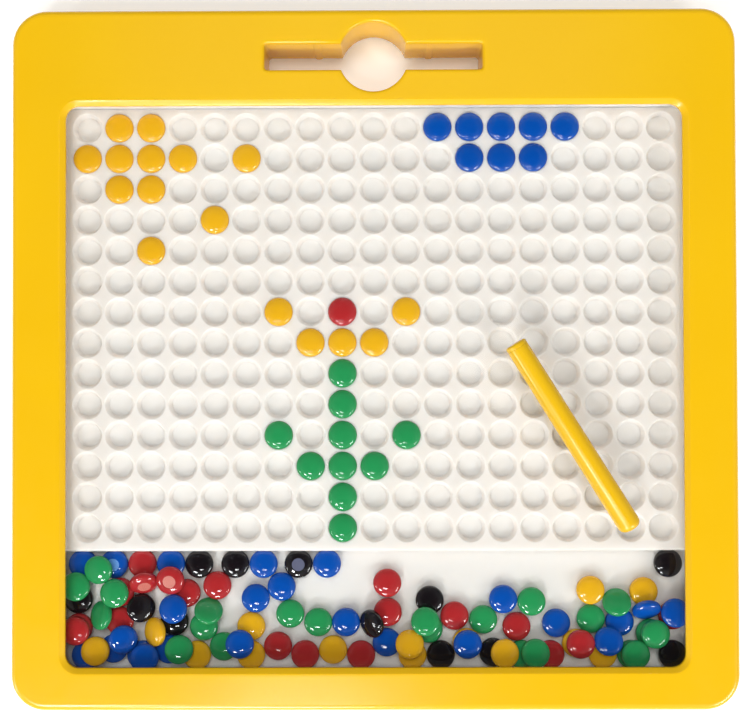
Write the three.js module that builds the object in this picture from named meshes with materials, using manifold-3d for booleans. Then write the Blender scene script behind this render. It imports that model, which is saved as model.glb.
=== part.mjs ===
// A magnetic disc drawing board. A moulded frame holds a clear window over a tray of round cups, and a
// magnetic pen drawn over the window pulls coloured discs out of a reservoir and seats them in the cups.
// Millimetres. The board lies on its back: +Z comes out of the window, +Y points to the pen slot, and the
// origin is the centre of the back face.
import * as THREE from "three";
import { mergeGeometries, mergeVertices } from "three/addons/utils/BufferGeometryUtils.js";
import Module from "manifold-3d";

const wasm = await Module();
wasm.setup();

// ---------------------------------------------------------------- driving dimensions

// The picture that the seated discs show, one letter for each cup, top row first: Y yellow, B blue,
// R red, G green, and a dot for an empty cup. It also sets the number of rows and columns.
const picture = [
  ".YY........BBBBB...",
  "YYYY.Y......BBB....",
  ".YY................",
  "....Y..............",
  "..Y................",
  "...................",
  "......Y.R.Y........",
  ".......YYY.........",
  "........G..........",
  "........G..........",
  "......G.G.G........",
  ".......GGG.........",
  "........G..........",
  "........G..........",
];

// Cups and discs
const pitchX = 13;
const pitchY = 12.56;
const cupLand = 0.36; // flat left between the mouths of two cups, where they stand closest
const cupWallRun = 1.3; // how far a cup's side leans in between its mouth and its floor
const cupDepth = 2.8;
const discClearance = 0.6; // a cup's mouth over a disc, on the diameter
const discThickness = 4.6;
const discSeatGap = 0.1;
const discHeadroom = 0.4; // left over a disc that slides across the cup plate, under the window

// Tray
const trayWall = 1.5;
const cupMargin = 0.4; // outermost cup mouth to the edge of the frame's opening, left and right
const topRowInset = 7; // opening's upper edge to the centres of the first row
const stepInset = 9.5; // centres of the last row to the step down to the reservoir
const reservoirLength = 44.8; // the step to the opening's lower edge
const reservoirDepth = 6.5; // cup plate's face to the reservoir's floor
const stiffenerSpacing = 50;

// Frame, window and rear cover
const sideBar = 21.5;
const bottomBar = 16.9;
const cornerRadius = 14;
const edgeRounding = 3;
const skirtWall = 2.4;
const faceThickness = 2.5;
const openingCorner = 5.5;
const lipSlope = 2; // width of the slope from the frame's face down to the window
const windowThickness = 1.5;
const windowLap = 5.5; // how far the window and the tray reach under the frame's sides and bottom bar
const windowLapTop = 2.4; // and under its top bar
const trayCorner = 8;
const locatorWall = 1; // rib on the frame that holds the tray in place
const locatorHeight = 5;
const coverThickness = 2;
const fitGap = 0.3; // all round a piece that drops into another
const seatGap = 0.05; // between faces that rest on each other

// Pen
const penLength = 86.2;
const penDiameter = 9.3; // at the magnet end
const penEndDiameter = 8.8; // at the plugged end
const penBore = 6.4;
const penTipWall = 1.6;
const penTipRounding = 3;
const penEndRounding = 1;
const plugHead = 2;
const plugStem = 7;
const magnetDiameter = 6;
const magnetLength = 10;
const penFromRight = 45; // middle of the pen to the opening's right edge
const penFromTop = 132.4; // middle of the pen to the opening's upper edge
const penHeading = -58; // degrees from +X, looking from the plugged end to the magnet

// Pen slot and finger hole in the top bar
const slotEndGap = 0.55; // at each end of the pen
const slotSideGap = 0.55; // at each side of the pen
const slotCorner = 1.2;
const slotWall = 1.5;
const slotRim = 1.5; // chamfer round the slot's mouth
const fingerHoleRadius = 13.9;
const fingerHoleInset = 5.3; // edge of the finger hole to the board's upper edge
const gripGap = 0.05; // between the pen and the ribs that hold it in the slot
const gripRibWidth = 3;
const gripRibOffset = 22.8; // from the middle of the slot
const locatorSpace = 0.2; // finger hole's wall to the tray locator

// Screws and their bosses
const screwHead = 5.6;
const screwHeadHeight = 2;
const screwHeadSink = 0.4; // below the back face, so that the board lies flat
const screwShank = 2.9;
const screwLength = 10;
const bossDiameter = 7.5;
const bossInLocator = 0.5; // how far the side and bottom bosses run into the tray locator
const padDiameter = 8.4;
const padHeight = 2;
const headClearance = 0.8; // on the diameter
const shankClearance = 0.4;
const pilotClearance = 0.2;
const pilotSpare = 1; // hole left beyond the screw's tip
const cornerBossInset = 12;
const topBossInset = 20;
const topBossOffset = 80;
const bottomBossOffset = 50;

// Facets
const arcSteps = 5; // in a quarter of a round corner
const roundSides = 8; // screws, bosses and holes
const cupSides = 8;
const discSides = 8;
const penSides = 16;
const tipSteps = 4; // across the rounding of the pen's tip

// ---------------------------------------------------------------- sizes that follow

const rows = picture.length;
const columns = picture[0].length;
const cupMouth = Math.min(pitchX, pitchY) - cupLand;
const cupFloor = cupMouth - 2 * cupWallRun;
const discDiameter = cupMouth - discClearance;
const discRoom = discThickness + discHeadroom;

const openingWidth = (columns - 1) * pitchX + cupMouth + 2 * cupMargin;
const openingHeight = topRowInset + (rows - 1) * pitchY + stepInset + reservoirLength;
const slotFromTop = fingerHoleInset + fingerHoleRadius;
const topBar =
  slotFromTop + fingerHoleRadius + slotWall + locatorSpace + locatorWall + fitGap + windowLapTop;
const boardWidth = openingWidth + 2 * sideBar;
const boardHeight = openingHeight + topBar + bottomBar;
const openingTop = boardHeight / 2 - topBar;
const openingMiddle = openingTop - openingHeight / 2;
const firstRow = openingTop - topRowInset;
const step = firstRow - (rows - 1) * pitchY - stepInset;
const trayWidth = openingWidth + 2 * windowLap;
const trayHeight = openingHeight + windowLapTop + windowLap;
const trayMiddle = openingMiddle + (windowLapTop - windowLap) / 2;
const slotY = boardHeight / 2 - slotFromTop;
const slotLength = penLength + 2 * slotEndGap;
const slotWidth = penDiameter + 2 * slotSideGap;

// Levels, from the back up
const trayBottom = coverThickness + seatGap;
const reservoirFloor = trayBottom + trayWall;
const plateTop = reservoirFloor + reservoirDepth;
const plateUnderside = plateTop - cupDepth - trayWall;
const trayTop = plateTop + discRoom;
const windowBottom = trayTop + seatGap;
const windowTop = windowBottom + windowThickness;
const faceUnderside = windowTop + seatGap;
const face = faceUnderside + faceThickness;
const headSeat = screwHeadSink + screwHeadHeight + seatGap;
const padTop = coverThickness + padHeight;
const bossBottom = padTop + seatGap;
const pilotTop = headSeat + screwLength + pilotSpare;
const beyond = 1; // how far a cut runs past the face that it opens
const rooted = faceUnderside + faceThickness / 2; // how far up what hangs from the face is joined to it

// ---------------------------------------------------------------- helpers

const rad = THREE.MathUtils.degToRad;

// A closed geometry as a solid that can be joined and cut.
function solid(geometry) {
  const bare = geometry.clone();
  bare.deleteAttribute("normal");
  bare.deleteAttribute("uv");
  const merged = mergeVertices(bare, 1e-4);
  const mesh = new wasm.Mesh({
    numProp: 3,
    vertProperties: merged.attributes.position.array,
    triVerts: new Uint32Array(merged.index.array),
  });
  return new wasm.Manifold(mesh);
}

function geometryOf(body) {
  const mesh = body.getMesh();
  const geometry = new THREE.BufferGeometry();
  geometry.setAttribute("position", new THREE.BufferAttribute(mesh.vertProperties, 3));
  geometry.setIndex(new THREE.BufferAttribute(mesh.triVerts, 1));
  return geometry;
}

const join = (...bodies) => bodies.reduce((all, body) => all.add(body));
const cut = (body, ...tools) => tools.reduce((left, tool) => left.subtract(tool), body);

// A rectangle with round corners, centred on (0, y).
function roundedRectangle(width, height, radius, y = 0) {
  const right = width / 2 - radius;
  const top = height / 2 - radius;
  const shape = new THREE.Shape();
  shape.absarc(right, y + top, radius, 0, Math.PI / 2);
  shape.absarc(-right, y + top, radius, Math.PI / 2, Math.PI);
  shape.absarc(-right, y - top, radius, Math.PI, 1.5 * Math.PI);
  shape.absarc(right, y - top, radius, 1.5 * Math.PI, 2 * Math.PI);
  return shape;
}

function prism(shape, low, high) {
  const options = { depth: high - low, bevelEnabled: false, curveSegments: arcSteps };
  return solid(new THREE.ExtrudeGeometry(shape, options).translate(0, 0, low));
}

// A prism whose outline grows by "spread" between "low" and "low + rise", and again shrinks at its top.
function flaredPrism(shape, low, high, spread, rise, segments = 1) {
  const options = {
    depth: high - low - 2 * rise,
    bevelThickness: rise,
    bevelSize: spread,
    bevelSegments: segments,
    curveSegments: arcSteps,
  };
  return solid(new THREE.ExtrudeGeometry(shape, options).translate(0, 0, low + rise));
}

function box(lowX, highX, lowY, highY, lowZ, highZ) {
  const geometry = new THREE.BoxGeometry(highX - lowX, highY - lowY, highZ - lowZ);
  return solid(
    geometry.translate((lowX + highX) / 2, (lowY + highY) / 2, (lowZ + highZ) / 2),
  );
}

// A round post on (x, y).
function post(x, y, diameter, low, high, sides = roundSides) {
  const geometry = new THREE.CylinderGeometry(diameter / 2, diameter / 2, high - low, sides);
  return solid(geometry.rotateX(Math.PI / 2).translate(x, y, (low + high) / 2));
}

// A turned geometry from [radius, height] pairs, standing along +Z.
function turned(profile, sides) {
  const points = profile.map(([radius, height]) => new THREE.Vector2(radius, height));
  return new THREE.LatheGeometry(points, sides).rotateX(Math.PI / 2);
}

const plastic = (color, roughness) => new THREE.MeshStandardMaterial({ color, roughness });
const frameYellow = plastic(0xf6c81c, 0.28);
const trayWhite = plastic(0xf0ece6, 0.35);
const windowClear = new THREE.MeshStandardMaterial({
  color: 0xffffff,
  roughness: 0.05,
  transparent: true,
  opacity: 0.2,
});
const steel = new THREE.MeshStandardMaterial({ color: 0xb9bcc0, roughness: 0.35, metalness: 1 });
const discColours = {
  Y: { name: "yellow", material: plastic(0xf2c12c, 0.3) },
  B: { name: "blue", material: plastic(0x0a58b8, 0.3) },
  R: { name: "red", material: plastic(0xbe2c36, 0.3) },
  G: { name: "green", material: plastic(0x28975c, 0.3) },
};

function part(name, geometry, material) {
  const mesh = new THREE.Mesh(geometry, material);
  mesh.name = name;
  return mesh;
}

// ---------------------------------------------------------------- frame

// The outline of the pen slot with the finger hole across its middle, grown outwards by "grow".
function slotOutline(grow) {
  const end = slotLength / 2 + grow;
  const side = slotWidth / 2 + grow;
  const corner = slotCorner + grow;
  const radius = fingerHoleRadius + grow;
  const meet = Math.asin(side / radius);
  const shape = new THREE.Shape();
  shape.absarc(0, slotY, radius, Math.PI + meet, 2 * Math.PI - meet);
  shape.absarc(end - corner, slotY - side + corner, corner, -Math.PI / 2, 0);
  shape.absarc(end - corner, slotY + side - corner, corner, 0, Math.PI / 2);
  shape.absarc(0, slotY, radius, meet, Math.PI - meet);
  shape.absarc(corner - end, slotY + side - corner, corner, Math.PI / 2, Math.PI);
  shape.absarc(corner - end, slotY - side + corner, corner, Math.PI, 1.5 * Math.PI);
  return shape;
}

// Half-round ribs on both long walls of the slot, which grip the pen.
function gripRibs() {
  const reach = slotSideGap - gripGap;
  const ribs = [];
  for (const x of [-gripRibOffset, gripRibOffset])
    for (const side of [-1, 1]) {
      const rib = new THREE.CylinderGeometry(1, 1, face - slotRim, roundSides);
      rib.rotateX(Math.PI / 2).scale(gripRibWidth / 2, reach, 1);
      rib.translate(x, slotY + (side * slotWidth) / 2, (face - slotRim) / 2);
      ribs.push(solid(rib));
    }
  return ribs;
}

// Where the screws go: the four corners, the middle of each side, and two along the top and the bottom.
function screwPlaces() {
  const cornerX = boardWidth / 2 - cornerBossInset;
  const cornerY = boardHeight / 2 - cornerBossInset;
  const beside = windowLap + fitGap + locatorWall + bossDiameter / 2 - bossInLocator;
  const sideX = openingWidth / 2 + beside;
  const bottomY = openingTop - openingHeight - beside;
  const topY = boardHeight / 2 - topBossInset;
  const right = {
    top_right: [cornerX, cornerY],
    bottom_right: [cornerX, -cornerY],
    side_right: [sideX, 0],
    upper_right: [topBossOffset, topY],
    lower_right: [bottomBossOffset, bottomY],
  };
  const places = {};
  for (const [name, [x, y]] of Object.entries(right)) {
    places[name] = [x, y];
    places[name.replace("right", "left")] = [-x, y];
  }
  return places;
}
const screws = screwPlaces();

// The front shell: a face with a round outer edge, a skirt down to the back, the walls of the pen slot,
// a rib that locates the tray, and the bosses that the screws bite into.
function frontFrame() {
  const outline = roundedRectangle(
    boardWidth - 2 * edgeRounding,
    boardHeight - 2 * edgeRounding,
    cornerRadius - edgeRounding,
  );
  const block = cut(
    flaredPrism(outline, -2 * edgeRounding, face, edgeRounding, edgeRounding, 4),
    box(-boardWidth, boardWidth, -boardHeight, boardHeight, -3 * edgeRounding, 0),
  );
  const hollow = roundedRectangle(
    boardWidth - 2 * skirtWall,
    boardHeight - 2 * skirtWall,
    cornerRadius - skirtWall,
  );
  const locator = (grow) =>
    roundedRectangle(
      trayWidth + 2 * grow,
      trayHeight + 2 * grow,
      trayCorner + grow,
      trayMiddle,
    );
  const locatorBottom = faceUnderside - locatorHeight;
  const locatorRib = cut(
    prism(locator(fitGap + locatorWall), locatorBottom, rooted),
    prism(locator(fitGap), locatorBottom - beyond, faceUnderside),
  );
  const bosses = Object.values(screws).map(([x, y]) =>
    post(x, y, bossDiameter, bossBottom, rooted),
  );
  const shell = join(
    cut(block, prism(hollow, -beyond, faceUnderside)),
    locatorRib,
    prism(slotOutline(slotWall), 0, rooted),
    ...bosses,
  );
  const opening = roundedRectangle(openingWidth, openingHeight, openingCorner, openingMiddle);
  const lipTop = faceUnderside + faceThickness / 2;
  const pilots = Object.values(screws).map(([x, y]) =>
    post(x, y, screwShank + pilotClearance, bossBottom - beyond, pilotTop),
  );
  const opened = cut(
    shell,
    prism(opening, faceUnderside - beyond, lipTop + seatGap),
    flaredPrism(opening, lipTop, face + 4 * beyond, lipSlope, face - lipTop),
    prism(slotOutline(0), -beyond, face + beyond),
    flaredPrism(slotOutline(0), face - slotRim, face + 4 * beyond, slotRim, slotRim),
    ...pilots,
  );
  return part("front_frame", geometryOf(join(opened, ...gripRibs())), frameYellow);
}

// The flat back, sunk into the skirt, with a pad and a counterbore for each screw.
function rearCover() {
  const inset = skirtWall + fitGap;
  const outline = roundedRectangle(
    boardWidth - 2 * inset,
    boardHeight - 2 * inset,
    cornerRadius - inset,
  );
  const pads = Object.values(screws).map(([x, y]) => post(x, y, padDiameter, 0, padTop));
  const plate = join(prism(outline, 0, coverThickness), ...pads).intersect(
    prism(outline, 0, padTop),
  );
  const holes = Object.values(screws).flatMap(([x, y]) => [
    post(x, y, screwHead + headClearance, -beyond, headSeat),
    post(x, y, screwShank + shankClearance, -beyond, padTop + beyond),
  ]);
  const slotHole = prism(slotOutline(slotWall + fitGap), -beyond, padTop + beyond);
  return part("rear_cover", geometryOf(cut(plate, slotHole, ...holes)), frameYellow);
}

function windowSheet() {
  const outline = roundedRectangle(trayWidth, trayHeight, trayCorner, trayMiddle);
  return part("window", geometryOf(prism(outline, windowBottom, windowTop)), windowClear);
}

function screw(name, [x, y]) {
  const top = headSeat - seatGap;
  const profile = [
    [0, screwHeadSink],
    [0.3 * screwHead, screwHeadSink],
    [0.5 * screwHead, screwHeadSink + 0.5 * screwHeadHeight],
    [0.5 * screwHead, top],
    [0.5 * screwShank, top],
    [0.5 * screwShank, top + screwLength - screwShank],
    [0, top + screwLength],
  ];
  const mesh = part("screw_" + name, turned(profile, roundSides), steel);
  mesh.position.set(x, y, 0);
  return mesh;
}

// ---------------------------------------------------------------- tray and discs

const cupX = (column) => (column - (columns - 1) / 2) * pitchX;
const cupY = (row) => firstRow - row * pitchY;

// Every cup as one cutting tool: a tapered hole whose flats stand where a round cup's sides would be.
function cups() {
  const flatToCorner = 1 / Math.cos(Math.PI / cupSides);
  const lean = (2 * cupWallRun) / cupDepth;
  const mouth = ((cupMouth + lean * beyond) / 2) * flatToCorner;
  const floor = (cupFloor / 2) * flatToCorner;
  const cup = new THREE.CylinderGeometry(mouth, floor, cupDepth + beyond, cupSides);
  cup.rotateY(Math.PI / cupSides).rotateX(Math.PI / 2);
  const level = plateTop - cupDepth + (cupDepth + beyond) / 2;
  const all = [];
  for (let row = 0; row < rows; row++)
    for (let column = 0; column < columns; column++)
      all.push(cup.clone().translate(cupX(column), cupY(row), level));
  return solid(mergeGeometries(all));
}

// The white tray: a wall all round that carries the window, a plate of cups, and below it a step down to
// the reservoir. Stiffeners under the plate stand on the rear cover.
function discTray() {
  const outer = roundedRectangle(trayWidth, trayHeight, trayCorner, trayMiddle);
  const inner = roundedRectangle(
    trayWidth - 2 * trayWall,
    trayHeight - 2 * trayWall,
    trayCorner - trayWall,
    trayMiddle,
  );
  const below = box(-trayWidth, trayWidth, -trayHeight, step, 0, face);
  const above = box(-trayWidth, trayWidth, step + trayWall, trayHeight, 0, face);
  const reservoir = prism(inner, reservoirFloor, face).intersect(below);
  const underside = prism(inner, 0, plateUnderside).intersect(above);
  const gaps = 2 * Math.round(trayWidth / stiffenerSpacing / 2);
  const stiffeners = [];
  for (let i = 1; i < gaps; i++) {
    const x = (i / gaps - 0.5) * trayWidth;
    stiffeners.push(
      box(x - trayWall / 2, x + trayWall / 2, step, trayHeight, trayBottom, plateTop),
    );
  }
  const hollowed = cut(underside, ...stiffeners);
  const body = cut(
    prism(outer, trayBottom, trayTop),
    prism(inner, plateTop, face),
    reservoir,
    hollowed,
    cups(),
  );
  return part("disc_tray", geometryOf(body), trayWhite);
}

// Half the section of a disc, [radius, height over its lowest point]: a lens with a softened rim. Both
// faces pass through the crown's points, given as shares of the disc's radius and of half its thickness.
const crown = [
  [0, 1],
  [0.58, 0.82],
  [0.9, 0.4],
];
const crownPoint = ([out, up], side) => [
  (out * discDiameter) / 2,
  ((1 + side * up) * discThickness) / 2,
];
const discProfile = [
  ...crown.map((point) => crownPoint(point, -1)),
  [discDiameter / 2, discThickness / 2],
  ...crown.toReversed().map((point) => crownPoint(point, 1)),
];

// A disc sinks until it meets the cup's floor or its leaning side, whichever comes first.
const cupSlope = cupWallRun / cupDepth;
const discRise = Math.max(
  discSeatGap,
  ...discProfile.map(
    ([radius, height]) => (radius + discSeatGap - cupFloor / 2) / cupSlope - height,
  ),
);

function seatedDiscs() {
  const shape = turned(discProfile, discSides);
  const discs = new THREE.Group();
  picture.forEach((line, row) =>
    [...line].forEach((letter, column) => {
      const colour = discColours[letter];
      if (!colour) return;
      const place = "r" + String(row + 1).padStart(2, "0") + "_c" + String(column + 1).padStart(2, "0");
      const disc = part("disc_" + colour.name + "_" + place, shape, colour.material);
      disc.position.set(cupX(column), cupY(row), plateTop - cupDepth + discRise);
      discs.add(disc);
    }),
  );
  return discs;
}

// ---------------------------------------------------------------- pen

// The pen is drawn along +Z from its magnet tip at 0, then laid on the window.
function pen() {
  const tip = penDiameter / 2;
  const end = penEndDiameter / 2;
  const bore = penBore / 2;
  const barrelEnd = penLength - plugHead - seatGap;
  const profile = [[0, 0]];
  for (let i = 0; i <= tipSteps; i++) {
    const angle = (i / tipSteps) * (Math.PI / 2);
    const radius = tip - penTipRounding * (1 - Math.sin(angle));
    profile.push([radius, penTipRounding * (1 - Math.cos(angle))]);
  }
  profile.push([end, barrelEnd], [bore, barrelEnd], [bore, penTipWall], [0, penTipWall]);
  const plug = [
    [0, barrelEnd - plugStem],
    [bore - seatGap, barrelEnd - plugStem],
    [bore - seatGap, barrelEnd + seatGap],
    [end, barrelEnd + seatGap],
    [end, penLength - penEndRounding],
    [end - penEndRounding, penLength],
    [0, penLength],
  ];
  const magnetBottom = penTipWall + seatGap;
  const magnet = new THREE.CylinderGeometry(
    magnetDiameter / 2,
    magnetDiameter / 2,
    magnetLength,
    penSides,
  );
  magnet.rotateX(Math.PI / 2).translate(0, 0, magnetBottom + magnetLength / 2);

  const pieces = new THREE.Group();
  pieces.add(part("pen_barrel", turned(profile, penSides), frameYellow));
  pieces.add(part("pen_end_plug", turned(plug, penSides), frameYellow));
  pieces.add(part("pen_magnet", magnet, steel));

  // The barrel narrows towards the plug, so it is tipped until its underside lies flat on the window.
  const taper = Math.atan((tip - end) / (barrelEnd - penTipRounding));
  pieces.rotation.y = -Math.PI / 2 + taper;
  pieces.position.set(penLength / 2, 0, windowTop + tip + 2 * seatGap);
  const laid = new THREE.Group();
  laid.add(pieces);
  laid.rotation.z = rad(penHeading);
  laid.position.set(openingWidth / 2 - penFromRight, openingTop - penFromTop, 0);
  return laid;
}

// ---------------------------------------------------------------- assembly

const board = new THREE.Group();
board.add(frontFrame());
board.add(rearCover());
board.add(windowSheet());
board.add(discTray());
for (const [name, place] of Object.entries(screws)) board.add(screw(name, place));
board.add(seatedDiscs());
board.add(pen());

export default board;
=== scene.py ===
# %% [markdown]
# # A magnetic disc drawing board
#
# The board is a moulded yellow frame that holds a clear window over a white tray of round cups. A pen
# with a magnet in its tip is drawn over the window and lifts coloured discs out of a reservoir into the
# cups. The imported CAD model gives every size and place. This lesson builds fine meshes and finishes
# round it, one piece at a time, and works in millimetres until a mesh is made.

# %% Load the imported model
import math
import random

import bmesh
import bpy
from mathutils import Euler, Matrix, Vector


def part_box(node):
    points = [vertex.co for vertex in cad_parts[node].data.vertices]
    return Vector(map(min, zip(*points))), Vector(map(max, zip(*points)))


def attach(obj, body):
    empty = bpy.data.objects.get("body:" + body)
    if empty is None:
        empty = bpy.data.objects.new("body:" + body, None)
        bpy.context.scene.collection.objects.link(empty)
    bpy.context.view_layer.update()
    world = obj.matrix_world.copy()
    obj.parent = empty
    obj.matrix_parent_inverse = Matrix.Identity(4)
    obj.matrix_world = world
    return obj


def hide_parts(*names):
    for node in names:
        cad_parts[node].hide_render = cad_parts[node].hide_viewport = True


MM = 0.001

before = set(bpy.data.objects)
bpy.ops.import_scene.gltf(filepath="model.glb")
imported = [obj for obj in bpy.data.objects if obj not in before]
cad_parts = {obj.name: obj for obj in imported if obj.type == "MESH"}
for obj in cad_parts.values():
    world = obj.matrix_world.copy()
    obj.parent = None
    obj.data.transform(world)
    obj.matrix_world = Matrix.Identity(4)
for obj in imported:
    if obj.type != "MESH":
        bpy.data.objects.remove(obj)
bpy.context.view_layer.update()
scene = bpy.context.scene


def box_mm(node):
    """Lowest and highest corner of a CAD node, in millimetres."""
    low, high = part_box(node)
    return low / MM, high / MM


board_low, board_high = box_mm("front_frame")
tray_low, tray_high = box_mm("disc_tray")
window_low, window_high = box_mm("window")
print("board, mm:", [round(v, 2) for v in board_high - board_low])

# %% [markdown]
# ## Camera
#
# The board is seen from straight above by a phone held about 40 cm over it. Such a camera is never quite
# square to its subject, and the small turns make the left and right edges lean. A full-frame sensor with
# a lens of about 46 mm gives the same perspective.

# %% Camera
camera_data = bpy.data.cameras.new("camera")
camera_data.sensor_width = 36
camera_data.lens = 45.9
camera = bpy.data.objects.new("camera", camera_data)
camera.location = Vector((3.4, -5.3, 402.5)) * MM
camera.rotation_euler = Euler((0.0130, 0.0049, -0.0029))
scene.collection.objects.link(camera)
scene.camera = camera

# %% [markdown]
# ## Light
#
# A light room by day: windows low on three sides, a lamp, and a key light from the lower left. They are
# small, so that they draw crisp marks on the rims of the domed discs: only the steep rim of a dome turns
# towards a low light. Most of the light comes from a large soft light overhead. It would lie like a veil
# on the flat window, so it is cross-polarised: a film on the light and one on the lens take its mirror
# image away and leave only the light that the colours give back. Here that is a light that gloss doesn't
# see. The plain view transform keeps saturated plastics saturated.

# %% Lights
scene.view_settings.view_transform = "Standard"
scene.cycles.use_denoising = True


def soft_light(name, azimuth, elevation, distance, width, height, power):
    """A rectangular light aimed at the board: angles in degrees, lengths in metres, power in watts.

    Azimuth is anticlockwise from +X, as seen from above.
    """
    data = bpy.data.lights.new(name, "AREA")
    data.shape = "RECTANGLE"
    data.size = width
    data.size_y = height
    data.energy = power
    light = bpy.data.objects.new(name, data)
    around, up = math.radians(azimuth), math.radians(elevation)
    direction = Vector((math.cos(around) * math.cos(up), math.sin(around) * math.cos(up), math.sin(up)))
    light.location = direction * distance
    light.rotation_euler = direction.to_track_quat("Z", "Y").to_euler()
    scene.collection.objects.link(light)
    return light


soft_light("key_lower_left", 238, 48, 1.8, 0.26, 0.2, 7.2)
soft_light("lamp_over_lower_edge", 259, 63.5, 1.9, 0.3, 0.12, 2.7)
soft_light("window_left", 212, 24, 1.7, 0.3, 0.25, 3.6)
soft_light("window_below", 260, 32, 1.6, 0.36, 0.24, 10.5)
soft_light("window_right", 315, 32, 1.7, 0.55, 0.3, 10.5)
overhead = soft_light("overhead_polarised", 90, 72, 1.8, 1.1, 0.9, 17.5)
overhead.visible_glossy = False

# %% [markdown]
# ## How the finishes are made
#
# Colours are written as sRGB hex values, the way a swatch gives them, and one function turns them into
# the linear light that shaders work in. One more function adds a node. Most pieces here are injection
# moulded: polished steel leaves a smooth skin, with a faint ripple where the plastic shrank, and
# handling leaves the gloss a little uneven. All of that is procedural, in real sizes.

# %% Colour and node helpers


def linear(hex_colour):
    """An sRGB hex colour as linear RGBA."""
    channels = [int(hex_colour[i : i + 2], 16) / 255 for i in (1, 3, 5)]
    return tuple(c / 12.92 if c <= 0.04045 else ((c + 0.055) / 1.055) ** 2.4 for c in channels) + (1,)


def add(tree, kind, inputs=None, **settings):
    """Adds a node with its settings, and fills each named input with a value or a link."""
    made = tree.nodes.new(kind)
    for key, value in settings.items():
        setattr(made, key, value)
    for key, value in (inputs or {}).items():
        if isinstance(value, bpy.types.NodeSocket):
            tree.links.new(value, made.inputs[key])
        else:
            made.inputs[key].default_value = value
    return made


def empty_material(name):
    """A material with no nodes but its output."""
    material = bpy.data.materials.new(name)
    material.use_nodes = True
    tree = material.node_tree
    tree.nodes.clear()
    return material, tree, add(tree, "ShaderNodeOutputMaterial")


# %% [markdown]
# ## The room
#
# Seen in the flat window, the part of the room straight overhead would lie like a veil over the whole
# board. Whoever holds the camera darkens just that part, so the room is pale up to about 55 degrees and
# falls off to a dark ceiling above. Its share of the light is small, which keeps the discs' colours deep.
# The windows' side is the brighter.

# %% Room
room = bpy.data.worlds.new("white_room")
room.use_nodes = True
room_tree = room.node_tree
room_tree.nodes.clear()
facing = add(room_tree, "ShaderNodeTexCoord")
height = add(room_tree, "ShaderNodeSeparateXYZ", {"Vector": facing.outputs["Generated"]})
overhead = add(
    room_tree,
    "ShaderNodeMapRange",
    {"Value": height.outputs["Z"], "From Min": 0.80, "From Max": 0.92, "To Min": 0.41, "To Max": 0.03},
    interpolation_type="SMOOTHSTEP",
)
window_side = add(
    room_tree,
    "ShaderNodeMapRange",
    {"Value": height.outputs["Y"], "From Min": 0.5, "From Max": -0.8, "To Min": 0.35, "To Max": 1.15},
)
strength = add(
    room_tree,
    "ShaderNodeMath",
    {0: overhead.outputs["Result"], 1: window_side.outputs["Result"]},
    operation="MULTIPLY",
)
glow = add(
    room_tree,
    "ShaderNodeBackground",
    {"Color": (1.0, 0.985, 0.965, 1), "Strength": strength.outputs["Value"]},
)
add(room_tree, "ShaderNodeOutputWorld", {"Surface": glow.outputs["Background"]})
scene.world = room

# %% [markdown]
# ## Moulded plastics
#
# ABS (frame, pen) has an IOR of about 1.54, polystyrene (tray, discs) about 1.59. Both are gloss
# mouldings. The ripple is about 4 mm from crest to crest and a few microns deep: too fine to see as
# shape, it only makes reflections wander. The wear is scattered fine scuffs that raise the roughness.
# In the white tray, light soaks in a couple of millimetres and softens the shade in the cups.

# %% Moulded plastic

# A mix node has several sockets of each name, so those for colours go by their places.
MIX_COLOUR_A, MIX_COLOUR_B, MIX_COLOUR_RESULT = 6, 7, 2
COLOUR_DRIFT = 60  # millimetres
SCUFF_SIZE = 9
SCUFFED = 1.25  # how much rougher the worst scuffs are
SOAK_BY_COLOUR = (1.0, 0.95, 0.9)  # red light goes farther in than blue


def moulded_plastic(name, hex_colour, shade, ior, roughness, ripple_mm=4.0, ripple_depth=0.006, soak=0.0):
    """Gloss moulding: a colour that drifts to a darker shade, a rippled skin, and uneven gloss.

    `soak` is how far, in millimetres, light spreads inside the plastic before it comes out again.
    """
    material, tree, output = empty_material(name)
    place = add(tree, "ShaderNodeTexCoord")
    drift = add(
        tree,
        "ShaderNodeTexNoise",
        {"Vector": place.outputs["Object"], "Scale": 1 / (COLOUR_DRIFT * MM), "Detail": 2.0},
    )
    colour = add(tree, "ShaderNodeMix", data_type="RGBA")
    tree.links.new(drift.outputs["Fac"], colour.inputs["Factor"])
    colour.inputs[MIX_COLOUR_A].default_value = linear(hex_colour)
    colour.inputs[MIX_COLOUR_B].default_value = linear(shade)
    scuffs = add(
        tree,
        "ShaderNodeTexNoise",
        {
            "Vector": place.outputs["Object"],
            "Scale": 1 / (SCUFF_SIZE * MM),
            "Detail": 3.0,
            "Roughness": 0.6,
        },
    )
    gloss = add(
        tree,
        "ShaderNodeMapRange",
        {
            "Value": scuffs.outputs["Fac"],
            "From Min": 0.35,
            "From Max": 0.75,
            "To Min": roughness,
            "To Max": roughness * SCUFFED,
        },
    )
    ripple = add(
        tree,
        "ShaderNodeTexNoise",
        {"Vector": place.outputs["Object"], "Scale": 1 / (ripple_mm * MM), "Detail": 1.0},
    )
    skin = add(
        tree,
        "ShaderNodeBump",
        {"Height": ripple.outputs["Fac"], "Distance": ripple_depth * MM, "Strength": 1.0},
    )
    surface = add(
        tree,
        "ShaderNodeBsdfPrincipled",
        {
            "Base Color": colour.outputs[MIX_COLOUR_RESULT],
            "Roughness": gloss.outputs["Result"],
            "Normal": skin.outputs["Normal"],
            "IOR": ior,
            "Subsurface Weight": 1.0 if soak else 0.0,
            "Subsurface Radius": SOAK_BY_COLOUR,
            "Subsurface Scale": soak * MM,
        },
    )
    tree.links.new(surface.outputs["BSDF"], output.inputs["Surface"])
    return material


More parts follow.
